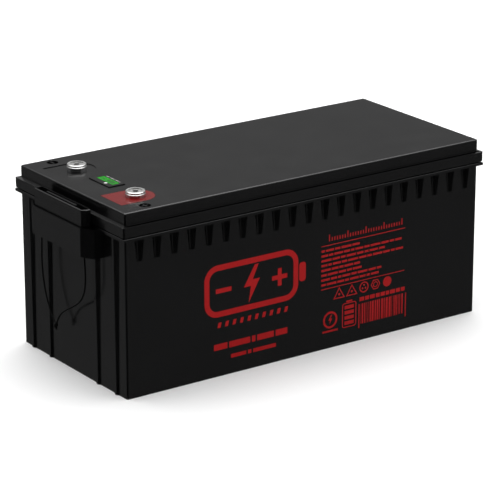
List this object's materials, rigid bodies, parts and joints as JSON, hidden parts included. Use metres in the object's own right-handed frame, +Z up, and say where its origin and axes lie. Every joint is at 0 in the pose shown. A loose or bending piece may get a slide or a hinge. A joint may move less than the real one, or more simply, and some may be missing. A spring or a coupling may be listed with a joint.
{
  "type": "deep cycle battery",
  "caption": "Black block-case deep cycle battery with two bolted terminals, a small lit display with a push button, and a roped lifting grip at each end.",
  "frame": {"origin": "centre of the case's base, on the surface it stands on", "axes": "+Z up, +X along the case from the terminal end to the plain end, +Y across it; the long side with the printed marks faces -Y"},
  "size_m": [0.555, 0.24, 0.2304],
  "materials": {
    "case_black": "semi-gloss black moulded ABS",
    "grip_black": "semi-gloss black moulded plastic",
    "rope_black": "black braided nylon",
    "terminal_metal": "bright tin-plated brass",
    "ring_steel": "plated steel",
    "pad_red": "red moulded plastic",
    "pad_black": "semi-gloss black moulded plastic",
    "frame_black": "gloss black plastic",
    "window_clear": "clear polycarbonate",
    "lcd_green": "lit green liquid crystal panel",
    "button_white": "white plastic",
    "circuit_board": "green glass-epoxy laminate",
    "rubber_black": "black rubber",
    "cell_can": "aluminium can in blue film",
    "insulation": "glass-epoxy sheet",
    "plate_aluminium": "mill-finish aluminium",
    "plated_steel": "zinc-plated steel",
    "busbar_copper": "nickel-free copper",
    "foam_grey": "closed-cell foam",
    "harness_amber": "polyimide flat cable",
    "chip_black": "epoxy chip package",
    "lead_red": "red silicone-insulated cable",
    "lead_black": "black silicone-insulated cable"
  },
  "bodies": {
    "root": {"base_pad": "foam_grey", "busbar_nuts": "plated_steel", "busbars": "busbar_copper", "button_switch": "chip_black", "cell_1": "cell_can", "cell_2": "cell_can", "cell_3": "cell_can", "cell_4": "cell_can", "cell_5": "cell_can", "cell_6": "cell_can", "cell_7": "cell_can", "cell_8": "cell_can", "cell_sheets": "insulation", "container": "case_black", "controller_board": "circuit_board", "controller_screws": "plated_steel", "controller_tray": "insulation", "display_board": "circuit_board", "display_frame": "frame_black", "display_panel": "lcd_green", "display_window": "window_clear", "heat_sink": "plate_aluminium", "left_end_plate": "plate_aluminium", "left_rope_far": "rope_black", "left_rope_knot": "rope_black", "left_rope_near": "rope_black", "lid": "case_black", "lid_seal": "rubber_black", "negative_clamp_ring": "ring_steel", "negative_lead": "lead_black", "negative_terminal": "terminal_metal", "negative_terminal_gasket": "rubber_black", "negative_terminal_pad": "pad_black", "pack_negative_lead": "lead_black", "positive_clamp_ring": "ring_steel", "positive_lead": "lead_red", "positive_terminal": "terminal_metal", "positive_terminal_gasket": "rubber_black", "positive_terminal_pad": "pad_red", "right_end_plate": "plate_aluminium", "right_rope_far": "rope_black", "right_rope_knot": "rope_black", "right_rope_near": "rope_black", "sense_harness": "harness_amber", "side_pads": "foam_grey", "switching_transistors": "chip_black", "tie_rod_nuts": "plated_steel", "tie_rods": "plated_steel"},
    "left_grip": {"left_grip": "grip_black", "left_grip_rope": "rope_black"},
    "right_grip": {"right_grip": "grip_black", "right_grip_rope": "rope_black"},
    "display_button": {"display_button": "button_white"}
  },
  "joints": [
    {"name": "left_grip_lift", "type": "slide", "parent": "root", "child": "left_grip", "axis": [0, 0, 1], "range_m": [0, 0.06], "deforming": ["left_rope_far", "left_rope_near", "left_rope_knot"]},
    {"name": "right_grip_lift", "type": "slide", "parent": "root", "child": "right_grip", "axis": [0, 0, 1], "range_m": [0, 0.06], "deforming": ["right_rope_far", "right_rope_near", "right_rope_knot"]},
    {"name": "display_button_press", "type": "slide", "parent": "root", "child": "display_button", "axis": [0, 0, -1], "range_m": [0, 0.0004], "stiffness_N_per_m": 2000}
  ]
}
